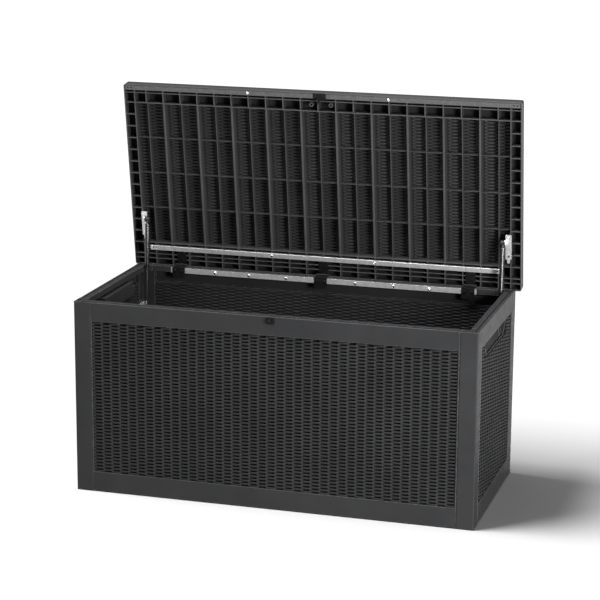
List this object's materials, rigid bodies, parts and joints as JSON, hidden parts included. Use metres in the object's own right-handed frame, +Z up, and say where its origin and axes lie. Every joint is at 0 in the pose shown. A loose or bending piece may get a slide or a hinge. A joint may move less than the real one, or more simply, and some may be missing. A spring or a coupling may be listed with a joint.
{
  "type": "deck storage box",
  "caption": "Long rectangular outdoor storage box with woven-look panels between smooth corner posts, a ribbed hinged lid held open on gas struts, side grip recesses and a padlock staple.",
  "frame": {"origin": "middle of the footprint of the four walls, on the ground, under the floor's centre foot", "axes": "+X to the right seen from the front, +Y to the rear where the lid is hinged, +Z up"},
  "size_m": [1.232, 0.601, 1.153],
  "materials": {
    "resin": "satin moulded, woven relief",
    "black_coated_steel": "black powder coat",
    "zinc_steel": "galvanised sheet",
    "grey_coated_steel": "dark grey coating",
    "polished_steel": "polished",
    "screw_steel": "zinc plated",
    "black_painted_tube": "gloss black paint",
    "black_nylon": "moulded nylon"
  },
  "bodies": {
    "box": {"back_panel": "resin", "centre_hinge_box_leaf": "black_coated_steel", "centre_hinge_pin": "black_coated_steel", "floor_panel": "resin", "front_panel": "resin", "hinge_wall_screws": "black_coated_steel", "left_front_corner_post": "resin", "left_hinge_box_leaf": "black_coated_steel", "left_hinge_pin": "black_coated_steel", "left_rear_corner_post": "resin", "left_side_panel": "resin", "left_strut_wall_ball_stud": "polished_steel", "left_strut_wall_bracket": "zinc_steel", "padlock_staple": "black_coated_steel", "rear_wall_bar": "zinc_steel", "right_front_corner_post": "resin", "right_hinge_box_leaf": "black_coated_steel", "right_hinge_pin": "black_coated_steel", "right_rear_corner_post": "resin", "right_side_panel": "resin", "right_strut_wall_ball_stud": "polished_steel", "right_strut_wall_bracket": "zinc_steel", "staple_screws": "black_coated_steel", "strut_wall_screws": "screw_steel", "wall_bar_screws": "screw_steel"},
    "lid": {"centre_hinge_lid_leaf": "black_coated_steel", "hinge_lid_screws": "black_coated_steel", "left_hinge_lid_leaf": "black_coated_steel", "left_strut_lid_ball_stud": "polished_steel", "left_strut_lid_bracket": "zinc_steel", "lid_bar_screws": "screw_steel", "lid_front_bar": "grey_coated_steel", "lid_rear_bar": "zinc_steel", "lid_shell": "resin", "padlock_lug": "black_coated_steel", "padlock_lug_screws": "black_coated_steel", "right_hinge_lid_leaf": "black_coated_steel", "right_strut_lid_ball_stud": "polished_steel", "right_strut_lid_bracket": "zinc_steel", "strut_lid_screws": "screw_steel"},
    "left_strut_rod_body": {"left_strut_piston": "black_nylon", "left_strut_rod": "polished_steel", "left_strut_rod_socket": "black_nylon"},
    "left_strut_tube_body": {"left_strut_rod_guide": "black_nylon", "left_strut_tube": "black_painted_tube", "left_strut_tube_socket": "black_nylon"},
    "right_strut_rod_body": {"right_strut_piston": "black_nylon", "right_strut_rod": "polished_steel", "right_strut_rod_socket": "black_nylon"},
    "right_strut_tube_body": {"right_strut_rod_guide": "black_nylon", "right_strut_tube": "black_painted_tube", "right_strut_tube_socket": "black_nylon"}
  },
  "joints": [
    {"name": "lid_hinge", "type": "hinge", "parent": "box", "child": "lid", "pos_m": [0, 0.2755, 0.575], "axis": [1, 0, 0], "range_deg": [0, 81.5], "stiffness_Nm_per_rad": 4, "springref_deg": -114.59},
    {"name": "left_strut_rod_pivot", "type": "hinge", "parent": "box", "child": "left_strut_rod_body", "pos_m": [-0.562, 0.22651, 0.43272], "axis": [1, 0, 0], "range_deg": [0, 40.75]},
    {"name": "left_strut_tube_pivot", "type": "hinge", "parent": "lid", "child": "left_strut_tube_body", "pos_m": [-0.562, 0.24146, 0.72158], "axis": [1, 0, 0], "range_deg": [-40.75, 0]},
    {"name": "right_strut_rod_pivot", "type": "hinge", "parent": "box", "child": "right_strut_rod_body", "pos_m": [0.562, 0.22651, 0.43272], "axis": [1, 0, 0], "range_deg": [0, 40.75]},
    {"name": "right_strut_tube_pivot", "type": "hinge", "parent": "lid", "child": "right_strut_tube_body", "pos_m": [0.562, 0.24146, 0.72158], "axis": [1, 0, 0], "range_deg": [-40.75, 0]}
  ],
  "couplings": [
    {"joint": "left_strut_rod_pivot", "follows": "lid_hinge", "ratio": 0.5},
    {"joint": "left_strut_tube_pivot", "follows": "lid_hinge", "ratio": -0.5},
    {"joint": "right_strut_rod_pivot", "follows": "lid_hinge", "ratio": 0.5},
    {"joint": "right_strut_tube_pivot", "follows": "lid_hinge", "ratio": -0.5}
  ]
}
